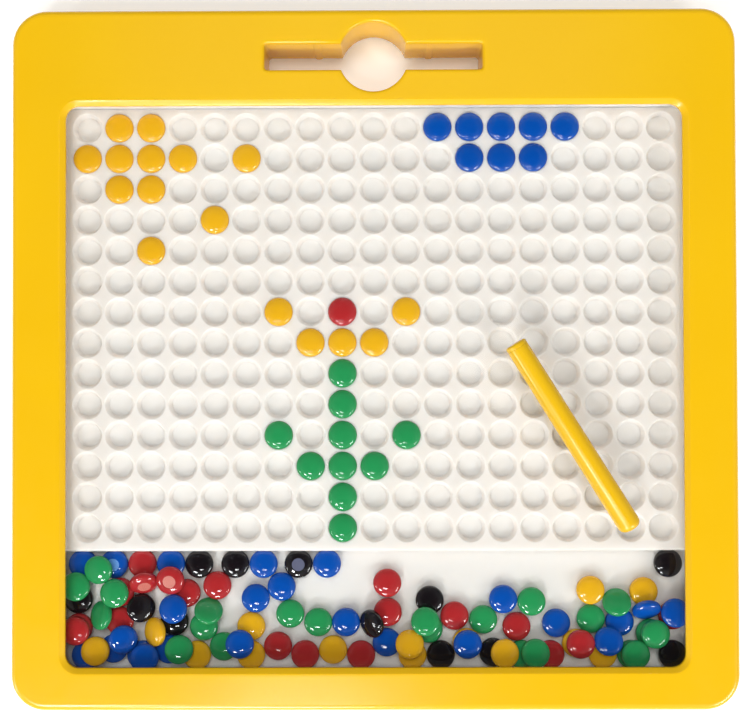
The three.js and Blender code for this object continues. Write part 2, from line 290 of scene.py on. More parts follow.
yellow_abs = moulded_plastic("yellow_abs_moulded", "#e3b40e", "#dcab0b", 1.54, 0.2)
pen_abs = moulded_plastic("light_yellow_abs_moulded", "#deb212", "#d9aa0f", 1.54, 0.22)
white_polystyrene = moulded_plastic("white_polystyrene_moulded", "#f1ebe6", "#ede5de", 1.59, 0.34, soak=2.0)
disc_finishes = {
    "yellow": moulded_plastic("yellow_polystyrene_moulded", "#edb41c", "#e9ac18", 1.59, 0.05),
    "blue": moulded_plastic("blue_polystyrene_moulded", "#0150b0", "#014aa6", 1.59, 0.05),
    "red": moulded_plastic("red_polystyrene_moulded", "#b42a2d", "#ac2629", 1.59, 0.05),
    "green": moulded_plastic("green_polystyrene_moulded", "#289756", "#248f50", 1.59, 0.05),
    "black": moulded_plastic("black_polystyrene_moulded", "#150f13", "#110c10", 1.59, 0.05),
}

# %% [markdown]
# ## Clear window, steel and nickel
#
# The window is clear polystyrene sheet. Light goes straight through a flat sheet this thin, so bending
# it is not worth the render time: a transparent shader with a gloss mixed in does the same. Blender's
# Fresnel node would take the far side of the sheet for the inside of a solid block and block slanting
# light there, so the share of gloss comes from Schlick's formula, which treats both sides alike.
# The screws are zinc plated steel and the pen's magnet is nickel plated. Both are metals, so their
# colour is in the reflection, and rolling or plating leaves a fine grain in the gloss.

# %% Window and metals


def clear_sheet(name, tint, ior):
    """A flat clear sheet: light goes straight through, with Schlick's share of gloss on top."""
    material, tree, output = empty_material(name)
    head_on = ((ior - 1) / (ior + 1)) ** 2
    slant = add(tree, "ShaderNodeLayerWeight", {"Blend": 0.5})
    steep = add(tree, "ShaderNodeMath", {0: slant.outputs["Facing"], 1: 5.0}, operation="POWER")
    share = add(
        tree,
        "ShaderNodeMath",
        {0: steep.outputs["Value"], 1: 1 - head_on, 2: head_on},
        operation="MULTIPLY_ADD",
    )
    through = add(tree, "ShaderNodeBsdfTransparent", {"Color": linear(tint)})
    shine = add(tree, "ShaderNodeBsdfGlossy", {"Color": (1, 1, 1, 1), "Roughness": 0.03})
    sheet = add(tree, "ShaderNodeMixShader", {"Fac": share.outputs["Value"]})
    tree.links.new(through.outputs["BSDF"], sheet.inputs[1])
    tree.links.new(shine.outputs["BSDF"], sheet.inputs[2])
    tree.links.new(sheet.outputs["Shader"], output.inputs["Surface"])
    return material


def plated_metal(name, hex_colour, roughness, grain_mm):
    """A plated metal, with a grain of the given size in its gloss."""
    material, tree, output = empty_material(name)
    place = add(tree, "ShaderNodeTexCoord")
    grain = add(
        tree,
        "ShaderNodeTexNoise",
        {"Vector": place.outputs["Object"], "Scale": 1 / (grain_mm * MM), "Detail": 3.0},
    )
    gloss = add(
        tree,
        "ShaderNodeMapRange",
        {"Value": grain.outputs["Fac"], "To Min": roughness * 0.7, "To Max": roughness * 1.4},
    )
    surface = add(
        tree,
        "ShaderNodeBsdfPrincipled",
        {"Base Color": linear(hex_colour), "Metallic": 1.0, "Roughness": gloss.outputs["Result"]},
    )
    tree.links.new(surface.outputs["BSDF"], output.inputs["Surface"])
    return material


clear_polystyrene = clear_sheet("clear_polystyrene_sheet", "#fdfefe", 1.59)
zinc_steel = plated_metal("zinc_plated_steel", "#c5c7ca", 0.35, 0.4)
nickel_plate = plated_metal("nickel_plated_magnet", "#cfcbc4", 0.2, 0.4)

# %% [markdown]
# ## Mesh helpers
#
# Nearly every piece here is an outline carried along a profile: a rounded rectangle up over the frame's
# edge, or a circle round a disc. So one function lofts a stack of rings, and one gives a profile its
# rounded corners. Every ring of a piece has the same number of points, which keeps the mesh all quads.

# %% Mesh helpers

LEAST_RADIUS = 0.05  # keeps the points of a sharp corner apart
MERGED = 0.001  # points closer than this become one
NEAR = 0.01  # two places closer than this count as the same


def softened(profile, steps=4):
    """Rounds the corners of a profile of (out, up, radius) points, and returns (out, up) points."""
    corners = [Vector(corner[:2]) for corner in profile]
    points = []
    for i, (here, (_, _, radius)) in enumerate(zip(corners, profile)):
        if radius == 0:
            points.append(tuple(here))
            continue
        back = (corners[i - 1] - here).normalized()
        on = (corners[(i + 1) % len(corners)] - here).normalized()
        reach = radius / math.tan(back.angle(on) / 2)
        start, end = here + back * reach, here + on * reach
        for k in range(steps + 1):
            t = k / steps
            points.append(tuple(start * (1 - t) ** 2 + here * (2 * t * (1 - t)) + end * t**2))
    return points


def rounded_outline(width, height, radii, middle_y=0.0, steps=12):
    """Points anticlockwise round a rectangle. Radii are for its corners, from the upper right one on."""
    points = []
    for quarter, (right, up) in enumerate([(1, 1), (-1, 1), (-1, -1), (1, -1)]):
        radius = max(radii[quarter], LEAST_RADIUS)
        x, y = right * (width / 2 - radius), middle_y + up * (height / 2 - radius)
        for i in range(steps + 1):
            angle = (quarter + i / steps) * math.pi / 2
            points.append((x + radius * math.cos(angle), y + radius * math.sin(angle)))
    return points


def circle(radius, sides, x=0.0, y=0.0):
    """Points anticlockwise on a circle, with the first half a step past +X."""
    turns = [2 * math.pi * (i + 0.5) / sides for i in range(sides)]
    return [(x + radius * math.cos(turn), y + radius * math.sin(turn)) for turn in turns]


def ring(bm, outline, z):
    """One ring of vertices on a level, in millimetres."""
    return [bm.verts.new((x * MM, y * MM, z * MM)) for x, y in outline]


def bridge(bm, lower, upper):
    """Quads between two rings of the same length."""
    count = len(lower)
    for i in range(count):
        j = (i + 1) % count
        bm.faces.new((lower[i], lower[j], upper[j], upper[i]))


def loft(bm, rings, closed=False, capped=False):
    """Quads between each ring and the next. Closed joins the last to the first; capped fills both ends."""
    for lower, upper in zip(rings, rings[1:]):
        bridge(bm, lower, upper)
    if closed:
        bridge(bm, rings[-1], rings[0])
    if capped:
        bm.faces.new(rings[0][::-1])
        bm.faces.new(rings[-1])


def fill_between(bm, *loops):
    """Fills a flat face that has the first loop round it and the others as holes."""
    edges = []
    for loop in loops:
        for a, b in zip(loop, loop[1:] + loop[:1]):
            edges.append(bm.edges.get((a, b)) or bm.edges.new((a, b)))
    bmesh.ops.triangle_fill(bm, edges=edges, use_beauty=True)


def finished(name, bm, finishes, body, replaces=(), sharp=32):
    """Makes the object, smooths all but its sharp edges, hangs it on its body and hides the CAD parts it
    replaces.
    """
    bmesh.ops.recalc_face_normals(bm, faces=bm.faces)
    mesh = bpy.data.meshes.new(name)
    bm.to_mesh(mesh)
    bm.free()
    mesh.shade_smooth()
    mesh.set_sharp_from_angle(angle=math.radians(sharp))
    for finish in finishes:
        mesh.materials.append(finish)
    piece = bpy.data.objects.new(name, mesh)
    scene.collection.objects.link(piece)
    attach(piece, body)
    if replaces:
        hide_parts(*replaces)
    return piece


# %% [markdown]
# ## Front frame
#
# The frame is one shell. Its outer edge rounds over onto a flat face, a sloping lip leads down to the
# window, and the pen slot goes right through, with a finger hole across its middle. A Boolean would
# leave ragged edges at the roundings, so the shell is lofted as three bands, round the outside, the
# opening and the slot, and the flat face and its underside are filled between the bands.

# %% Front frame: sizes
CORNER_RADIUS = 14
EDGE_ROUNDING = 3
SKIRT_WALL = 2.4
FACE_THICKNESS = 2.5
OPENING_CORNER = 5.5
LIP_SLOPE = 2
LIP_TOP_ROUNDING = 0.9
FLAT_START = 0.1  # past a rounding, where the flat face is filled in
WINDOW_LAP = 5.5
WINDOW_LAP_TOP = 2.4
TRAY_CORNER = 8
TRAY_WALL = 1.5

board_width = board_high.x - board_low.x
board_height = board_high.y - board_low.y
face = board_high.z
underside = face - FACE_THICKNESS
lip_top = underside + FACE_THICKNESS / 2
opening_width = window_high.x - window_low.x - 2 * WINDOW_LAP
opening_top = window_high.y - WINDOW_LAP_TOP
opening_bottom = window_low.y + WINDOW_LAP
opening_height = opening_top - opening_bottom
opening_middle = (opening_top + opening_bottom) / 2
print("opening, mm:", round(opening_width, 2), "x", round(opening_height, 2))

# %% Front frame: outlines
SLOT_FROM_TOP = 19.2
SLOT_LENGTH = 87.3
SLOT_WIDTH = 10.4
SLOT_CORNER = 1.2
SLOT_WALL = 1.5
SLOT_RIM = 1.5
FINGER_HOLE_RADIUS = 13.9
GRIP_RIB_OFFSET = 22.8
GRIP_RIB_WIDTH = 3
GRIP_RIB_REACH = 0.5

slot_y = board_high.y - SLOT_FROM_TOP


def outer_outline(inset):
    """The board's outline, moved in."""
    radius = CORNER_RADIUS - inset
    return rounded_outline(board_width - 2 * inset, board_height - 2 * inset, [radius] * 4)


def opening_outline(outset):
    """The outline of the opening over the window, moved out."""
    radius = OPENING_CORNER + outset
    width, height = opening_width + 2 * outset, opening_height + 2 * outset
    return rounded_outline(width, height, [radius] * 4, opening_middle)


def slot_side(centre, side, heading, rib, steps=8):
    """Points along a grip rib, which stands out of a long wall of the slot by `rib`."""
    points = []
    for k in range(steps + 1):
        angle = math.pi * k / steps
        x = centre - heading * GRIP_RIB_WIDTH / 2 * math.cos(angle)
        points.append((x, slot_y + side - math.copysign(rib, side) * math.sin(angle)))
    return points


def arc(x, y, radius, start, end, steps):
    """Points on an arc, with its angles in degrees."""
    angles = [math.radians(start + (end - start) * i / steps) for i in range(steps + 1)]
    return [(x + radius * math.cos(a), y + radius * math.sin(a)) for a in angles]


def slot_outline(grow, rib):
    """The outline of the slot and the finger hole, moved out, with grip ribs that stand out by `rib`."""
    end = SLOT_LENGTH / 2 + grow
    side = SLOT_WIDTH / 2 + grow
    corner = SLOT_CORNER + grow
    radius = FINGER_HOLE_RADIUS + grow
    meet = math.degrees(math.asin(side / radius))
    reach = side - corner
    return (
        arc(0, slot_y, radius, 180 + meet, 360 - meet, 24)
        + slot_side(GRIP_RIB_OFFSET, -side, 1, rib)
        + arc(end - corner, slot_y - reach, corner, -90, 0, 5)
        + arc(end - corner, slot_y + reach, corner, 0, 90, 5)
        + slot_side(GRIP_RIB_OFFSET, side, -1, rib)
        + arc(0, slot_y, radius, meet, 180 - meet, 24)
        + slot_side(-GRIP_RIB_OFFSET, side, -1, rib)
        + arc(corner - end, slot_y + reach, corner, 90, 180, 5)
        + arc(corner - end, slot_y - reach, corner, 180, 270, 5)
        + slot_side(-GRIP_RIB_OFFSET, -side, 1, rib)
    )


# %% Front frame: shell
bm = bmesh.new()

outer_profile = softened(
    [
        (SKIRT_WALL, underside, 0),
        (SKIRT_WALL, 0, 0.3),
        (0, 0, 0.4),
        (0, face, EDGE_ROUNDING),
        (EDGE_ROUNDING + FLAT_START, face, 0),
    ],
    steps=8,
)
outer_band = [ring(bm, outer_outline(inset), z) for inset, z in outer_profile]
loft(bm, outer_band)

opening_profile = softened(
    [
        (LIP_SLOPE + LIP_TOP_ROUNDING + 0.3, face, 0),
        (LIP_SLOPE, face, LIP_TOP_ROUNDING),
        (0, lip_top, 0.35),
        (0, underside, 0.2),
        (1, underside, 0),
    ]
)
opening_band = [ring(bm, opening_outline(outset), z) for outset, z in opening_profile]
loft(bm, opening_band)

slot_profile = softened(
    [
        (SLOT_RIM + FLAT_START, face, 0),
        (0, face, SLOT_RIM),
        (0, 0, 0.3),
        (SLOT_WALL, 0, 0.3),
        (SLOT_WALL, underside, 0),
    ],
    steps=6,
)
slot_band = []
for grow, z in slot_profile:
    inside = grow < NEAR and z < face - SLOT_RIM
    slot_band.append(ring(bm, slot_outline(grow, GRIP_RIB_REACH if inside else 0), z))
loft(bm, slot_band)

fill_between(bm, outer_band[-1], opening_band[0], slot_band[0])
fill_between(bm, outer_band[0], opening_band[-1], slot_band[-1])

# %% [markdown]
# Behind the face stand the bosses that the screws bite into, and the rib that locates the tray. They
# are closed forms that run into the face, as they do in the moulding.

# %% Front frame: bosses and tray locator
BOSS_DIAMETER = 7.5
PILOT_DIAMETER = 3.1
BOSS_BOTTOM = 4.05
PILOT_TOP = 13.5
LOCATOR_WALL = 1.0
LOCATOR_HEIGHT = 5
FIT_GAP = 0.3
ROOT = 1.0  # how far a boss or rib runs into the face

tray_width = tray_high.x - tray_low.x
tray_height = tray_high.y - tray_low.y
tray_middle = (tray_high.y + tray_low.y) / 2


def tray_outline(inset):
    """The tray's outline, moved in."""
    width, height = tray_width - 2 * inset, tray_height - 2 * inset
    return rounded_outline(width, height, [TRAY_CORNER - inset] * 4, tray_middle)


def middle(node):
    """Centre of a CAD node's box, in millimetres."""
    low, high = box_mm(node)
    return (low + high) / 2


screws = sorted(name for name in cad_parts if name.startswith("screw_"))
for name in screws:
    at = middle(name)
    boss = [
        (PILOT_DIAMETER / 2, PILOT_TOP),
        (PILOT_DIAMETER / 2, BOSS_BOTTOM),
        (BOSS_DIAMETER / 2, BOSS_BOTTOM),
        (BOSS_DIAMETER / 2, underside + ROOT),
    ]
    loft(bm, [ring(bm, circle(radius, 24, at.x, at.y), z) for radius, z in boss], capped=True)

locator_low = underside - LOCATOR_HEIGHT
locator = softened(
    [
        (-FIT_GAP, underside + ROOT, 0),
        (-FIT_GAP, locator_low, 0.3),
        (-FIT_GAP - LOCATOR_WALL, locator_low, 0.3),
        (-FIT_GAP - LOCATOR_WALL, underside + ROOT, 0),
    ]
)
loft(bm, [ring(bm, tray_outline(inset), z) for inset, z in locator], closed=True)

front = finished("frame_shell", bm, [yellow_abs], "board", ["front_frame"])
print("frame_shell faces:", len(front.data.polygons))

# %% [markdown]
# ## Tray
#
# The tray is white polystyrene: a wall that carries the window, a plate of round cups, and a step down
# to the reservoir. Every cup is the same, so the plate is made of cells. A cell is a rectangle of one
# pitch whose edge is cut into as many points as the cup's circle, so rings run from the one to the
# other, and neighbours share the points on their common edge.

# %% Tray: sizes
ROWS, COLUMNS = 14, 19
CUP_DEPTH = 2.8
CUP_MOUTH = 12.2
CUP_FLOOR = 9.6
STEP_INSET = 9.5  # last row of cups to the step
RESERVOIR_DEPTH = 6.5
CELL_SIDE = 8  # points on each side of a cell

# The pitch comes from discs that stand 11 columns and 13 rows apart.
first, across, down = map(middle, ("disc_yellow_r01_c02", "disc_blue_r01_c13", "disc_green_r14_c09"))
pitch_x = (across.x - first.x) / (13 - 2)
pitch_y = (first.y - down.y) / (14 - 1)
first_row = first.y
plate_top = tray_low.z + TRAY_WALL + RESERVOIR_DEPTH
reservoir_floor = tray_low.z + TRAY_WALL
plate_underside = plate_top - CUP_DEPTH - TRAY_WALL
step = first_row - (ROWS - 1) * pitch_y - STEP_INSET
print("pitch, mm:", round(pitch_x, 3), round(pitch_y, 3), "step at", round(step, 2))


def cup_centre(row, column):
    """Centre of a cup, with the first row and column counted as 0."""
    return (column - (COLUMNS - 1) / 2) * pitch_x, first_row - row * pitch_y


# %% Tray: plate of cups
def cell_edge(x, y):
    """The edge of a cell and, at the same angles, the directions out to it."""
    edge, turns = [], []
    for side in range(4):
        for i in range(CELL_SIDE):
            share = math.tan(math.pi / 4 * (2 * i / CELL_SIDE - 1))
            u, v = [(1, share), (-share, 1), (-1, -share), (share, -1)][side]
            edge.append((x + u * pitch_x / 2, y + v * pitch_y / 2))
            turns.append(math.radians(90 * side - 45 + 90 * i / CELL_SIDE))
    return edge, turns


cup_floor = plate_top - CUP_DEPTH
cup_profile = softened(
    [
        (CUP_MOUTH / 2 + 0.16, plate_top, 0),
        (CUP_MOUTH / 2 - 0.2, plate_top, 0.5),
        (CUP_FLOOR / 2, cup_floor, 0.4),
        (CUP_FLOOR / 2 - 0.8, cup_floor, 0),
    ],
    steps=3,
)

bm = bmesh.new()
for row in range(ROWS):
    for column in range(COLUMNS):
        x, y = cup_centre(row, column)
        edge, turns = cell_edge(x, y)
        rings = [ring(bm, edge, plate_top)]
        for radius, z in cup_profile:
            outline = [(x + radius * math.cos(t), y + radius * math.sin(t)) for t in turns]
            rings.append(ring(bm, outline, z))
        loft(bm, rings)
        bm.faces.new(rings[-1])
bmesh.ops.remove_doubles(bm, verts=bm.verts, dist=MERGED * MM)

# %% [markdown]
# The plate's open edge is then drawn out: into the tray's wall on three sides, and on the fourth over
# a rounded edge and down the step. Last, it drops to the underside and is filled there.

# %% Tray: plate edges
STEP_ROUNDING = 1.2
STEP_ROUNDING_CUTS = 5
IN_WALL = 0.75  # how far the plate runs into the tray's wall

wall_right = tray_high.x - TRAY_WALL + IN_WALL
wall_top = tray_high.y - TRAY_WALL + IN_WALL
corner_radius = TRAY_CORNER - IN_WALL
corner_x, corner_y = tray_high.x - TRAY_CORNER, tray_high.y - TRAY_CORNER
grid_bottom = first_row - (ROWS - 0.5) * pitch_y
grid_right = COLUMNS * pitch_x / 2


def drawn_out(x, y):
    """Where a point on the plate's edge goes, in millimetres."""
    if y < grid_bottom + NEAR:
        side = wall_right if abs(x) > grid_right - NEAR else abs(x)
        return math.copysign(side, x), step + STEP_ROUNDING
    if abs(x) > corner_x and y > corner_y:
        away = Vector((abs(x) - corner_x, y - corner_y)).normalized() * corner_radius
        return math.copysign(corner_x + away.x, x), corner_y + away.y
    if abs(x) > grid_right - NEAR:
        return math.copysign(wall_right, x), y
    return x, wall_top


def extrude_open_edge(bm, keep, move):
    """Extrudes the open edges that `keep` accepts, and moves each new vertex."""
    edges = [edge for edge in bm.edges if edge.is_boundary and keep(edge)]
    made = bmesh.ops.extrude_edge_only(bm, edges=edges)["geom"]
    for vert in [item for item in made if isinstance(item, bmesh.types.BMVert)]:
        vert.co = Vector(move(*(vert.co / MM))) * MM


extrude_open_edge(bm, lambda edge: True, lambda x, y, z: (*drawn_out(x, y), z))
for k in range(1, STEP_ROUNDING_CUTS + 1):
    angle = math.pi / 2 * k / STEP_ROUNDING_CUTS
    line = step + STEP_ROUNDING * (1 - math.sin(angle))
    level = plate_top - STEP_ROUNDING * (1 - math.cos(angle))
    last = min(vert.co.y for vert in bm.verts)
    extrude_open_edge(
        bm,
        lambda edge: all(vert.co.y < last + NEAR * MM for vert in edge.verts),
        lambda x, y, z: (x, line, level),
    )
extrude_open_edge(
    bm,
    lambda edge: all(vert.co.y < (step + NEAR) * MM for vert in edge.verts),
    lambda x, y, z: (x, y, plate_underside),
)
extrude_open_edge(
    bm,
    lambda edge: max(vert.co.z for vert in edge.verts) > (plate_underside + NEAR) * MM,
    lambda x, y, z: (x, y, plate_underside),
)
bmesh.ops.remove_doubles(bm, verts=bm.verts, dist=MERGED * MM)
bmesh.ops.holes_fill(bm, edges=[edge for edge in bm.edges if edge.is_boundary], sides=0)
print("plate is closed:", not any(edge.is_boundary for edge in bm.edges))

# %% Tray: wall, reservoir and stiffeners
PAN_FILLET = 1.8
PAN_UPPER_CORNER = 0.8
PROUD = 0.02  # keeps the pan's sides off the wall's own faces

wall = softened(
    [
        (0, tray_low.z, 0.3),
        (0, tray_high.z, 0.3),
        (TRAY_WALL, tray_high.z, 0.4),
        (TRAY_WALL, tray_low.z, 0.3),
    ]
)
loft(bm, [ring(bm, tray_outline(inset), z) for inset, z in wall], closed=True)

pan_width = tray_width - 2 * TRAY_WALL
pan_bottom = tray_low.y + TRAY_WALL


def pan_outline(inset):
    """The reservoir's outline, moved in: its lower corners follow the tray's, its upper ones are tight."""
    lower = TRAY_CORNER - TRAY_WALL - inset
    upper = PAN_UPPER_CORNER - inset
    height = step - pan_bottom - 2 * inset
    return rounded_outline(
        pan_width - 2 * inset, height, [upper, upper, lower, lower], (step + pan_bottom) / 2
    )


pan = softened(
    [
        (-IN_WALL, tray_low.z, 0),
        (-IN_WALL, plate_underside, 0),
        (PROUD, plate_underside, 0),
        (PROUD, reservoir_floor, PAN_FILLET),
        (3, reservoir_floor, 0),
    ],
    steps=6,
)
loft(bm, [ring(bm, pan_outline(inset), z) for inset, z in pan], capped=True)

# Bars under the plate keep it flat.
STIFFENERS = 5
for i in range(STIFFENERS):
    x = ((i + 1) / (STIFFENERS + 1) - 0.5) * tray_width
    bar = rounded_outline(TRAY_WALL, wall_top - step - 2, [0.1] * 4, (wall_top + step) / 2, steps=1)
    bar = [(x + dx, y) for dx, y in bar]
    loft(bm, [ring(bm, bar, tray_low.z), ring(bm, bar, plate_underside + 0.5)], capped=True)

tray = finished("tray_of_cups", bm, [white_polystyrene], "board", ["disc_tray"])
print("tray_of_cups faces:", len(tray.data.polygons))

# %% [markdown]
# ## Discs
#
# A disc is a steel slug inside a plastic shell: a lens with a thin band round its rim. The upper dome
# has a flat middle and a steep shoulder, which is what holds the thin bright crescents. The other side
# has the round facet where the shell was closed, dull from the tool. The facet's colour is painted
# lighter than the shell's: a painted sheen that stands in for the light overhead mirrored in the flat
# facet.

# %% Disc: section and mesh
DISC_SIDES = 40
RIM_BAND = 0.7
DOME_POWER = 2.4  # above 2, a dome is flatter in the middle and steeper at its shoulder than a ball
CROWN_RINGS = 12
FACET_RADIUS = 2.7
FACET_SUNK = 0.12

disc_low, disc_high = box_mm("disc_yellow_r01_c02")
disc_radius = (disc_high.x - disc_low.x) / 2
disc_height = disc_high.z - disc_low.z


def dome(radius):
    """Height of a dome over the disc's middle plane."""
    rise = disc_height / 2 - RIM_BAND / 2
    return RIM_BAND / 2 + rise * math.sqrt(max(0.0, 1 - (radius / disc_radius) ** DOME_POWER))


def disc_section():
    """(radius, height over the middle plane) from the facet's middle up to the dome's top."""
    shares = [math.sin(math.pi / 2 * k / CROWN_RINGS) for k in range(1, CROWN_RINGS + 1)]
    crown = [(share * disc_radius, dome(share * disc_radius)) for share in shares]
    under = [(radius, -height) for radius, height in crown if radius > FACET_RADIUS + 0.2]
    facet = -dome(FACET_RADIUS) + FACET_SUNK
    brim = FACET_RADIUS + 0.12
    edge = [(FACET_RADIUS - 0.1, facet), (FACET_RADIUS, facet), (brim, -dome(brim))]
    return edge + under + crown[::-1]


def add_disc(bm, place):
    """Adds one disc, moved by a matrix in millimetres."""
    section = disc_section()
    rings = []
    for radius, height in section:
        points = [place @ Vector((x, y, height)) for x, y in circle(radius, DISC_SIDES)]
        rings.append([bm.verts.new(point * MM) for point in points])
    loft(bm, rings)
    facet = bm.faces.new(rings[0][::-1])
    top = bm.verts.new((place @ Vector((0, 0, disc_height / 2))) * MM)
    for a, b in zip(rings[-1], rings[-1][1:] + rings[-1][:1]):
        bm.faces.new((a, b, top))
    # The facet takes the second finish, whose colour is painted lighter as a sheen.
    facet.material_index = 1


# %% [markdown]
# ## Seated discs
#
# Each seated disc is a body of its own, because the pen can lift it. None lies quite level in its cup:
# each leans a little, its own way. The seed makes every run the same.

# %% Seated discs
# The facets' colours are painted lighter than the discs' own: a painted sheen for the light overhead
# mirrored in the flat facet. Their higher roughness is the tool's dull finish.
facet_painted_sheen_finishes = {
    "yellow": moulded_plastic("yellow_facet_painted_sheen", "#f6cf6a", "#f2c65c", 1.59, 0.45),
    "blue": moulded_plastic("blue_facet_painted_sheen", "#5e93d6", "#568cd0", 1.59, 0.45),
    "red": moulded_plastic("red_facet_painted_sheen", "#cf7466", "#c96a5c", 1.59, 0.45),
    "green": moulded_plastic("green_facet_painted_sheen", "#63b184", "#5aa97b", 1.59, 0.45),
    "black": moulded_plastic("black_facet_painted_sheen", "#5b5d78", "#4c4e68", 1.59, 0.45),
}
MOST_LEAN = 1.5  # degrees
chance = random.Random(7)
seated = sorted(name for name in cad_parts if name.startswith("disc_") and name != "disc_tray")
for name in seated:
    colour = name.split("_")[1]
    turn = Matrix.Rotation(chance.uniform(0, 2 * math.pi), 4, "Z")
    lean = Matrix.Rotation(math.radians(chance.uniform(-MOST_LEAN, MOST_LEAN)), 4, "X")
    bm = bmesh.new()
    add_disc(bm, Matrix.Translation(middle(name)) @ turn @ lean @ turn.inverted())
    finishes = [disc_finishes[colour], facet_painted_sheen_finishes[colour]]
    piece_name = name.replace("disc_", "seated_")
    finished(piece_name, bm, finishes, name, [name])
print("seated discs:", len(seated))

# %% [markdown]
# ## Loose discs
#
# About ninety discs lie in the reservoir, most of them slid down to the lower edge. Two text maps say
# where they start, one letter to a disc: the lower map holds those that lie on the floor, the upper
# one those on top. A small letter is a disc that lies on its dome and shows its facet. Blender's rigid
# bodies then drop them, so that they lean on each other as real ones do. The solver is made for
# things of about a metre, so the discs fall a hundred times enlarged.

# %% Loose discs: layout
MAP_COLUMN = 2.5  # millimetres to a letter
MAP_ROW = 4.0  # and to a line
MAP_LEFT = -122.5
MAP_TOP = -84.0

lower_map = [
    " B     b   R   B    K     K    B    k    B                                                       K",
    "",
    "       R               R         B                 R",
    "                  R                                                                          Y",
    "K                             B                           K               G",
    "                                   G               R                  B",
    "       R        K            Y          G   B                 R   G                 G    B",
    "                     G                                                  R      B                  R",
    "R                                                          G",
    "  B   B    B   B    Y   G    Y   R    R   Y    R   B    Y    K   Y  K    G    R   Y   Y   G   G  K",
]
upper_map = [
    "",
    "",
    "G   G",
    "           r   r",
    "      G                                                                              Y",
    "           K   B   G                                                                     G   B    B",
    "R  G                                             K       G",
    "    Y      Y                                                                                 G",
    "        B   B   G          B                           Y        B                  R   B    G",
    "                                                                      Y    G",
]
letters = {"Y": "yellow", "B": "blue", "R": "red", "G": "green", "K": "black"}


def read_map(rows, level):
    """Every letter of a map as (colour, face down, place)."""
    return [
        (
            letters[letter.upper()],
            letter.islower(),
            Vector((MAP_LEFT + column * MAP_COLUMN, MAP_TOP - row * MAP_ROW, level)),
        )
        for row, line in enumerate(rows)
        for column, letter in enumerate(line)
        if letter != " "
    ]


# %% Loose discs: make room
room_left, room_right = tray_low.x + TRAY_WALL, tray_high.x - TRAY_WALL
room_bottom, room_top = tray_low.y + TRAY_WALL, step
LEAST_GAP = 0.05


def spread(discs, rounds=200):
    """Pushes overlapping discs of one layer apart and back between the walls, `rounds` times over."""
    apart = 2 * disc_radius + LEAST_GAP
    for _ in range(rounds):
        for i, (_, _, a) in enumerate(discs):
            for _, _, b in discs[i + 1 :]:
                gap = b.xy - a.xy
                short = apart - gap.length
                if short > 0:
                    push = gap.normalized() * (short / 2)
                    a.xy -= push
                    b.xy += push
        for _, _, place in discs:
            place.x = min(max(place.x, room_left + disc_radius), room_right - disc_radius)
            place.y = min(max(place.y, room_bottom + disc_radius), room_top - disc_radius)


lower = read_map(lower_map, reservoir_floor + disc_height / 2 + 0.1)
upper = read_map(upper_map, reservoir_floor + 1.5 * disc_height + 0.4)
spread(lower)
spread(upper)
loose = lower + upper
print("loose discs:", len(lower), "below and", len(upper), "on top")

# %% Loose discs: drop them
ENLARGED = 0.1  # Blender units to a millimetre
FRAMES = 60
SUBSTEPS = 30
PULL = 30  # stronger than real gravity, so that the enlarged discs come to rest in time
ROOM_WALL = 20  # half the thickness of the box that holds the discs in
HULL_SIDES = 20


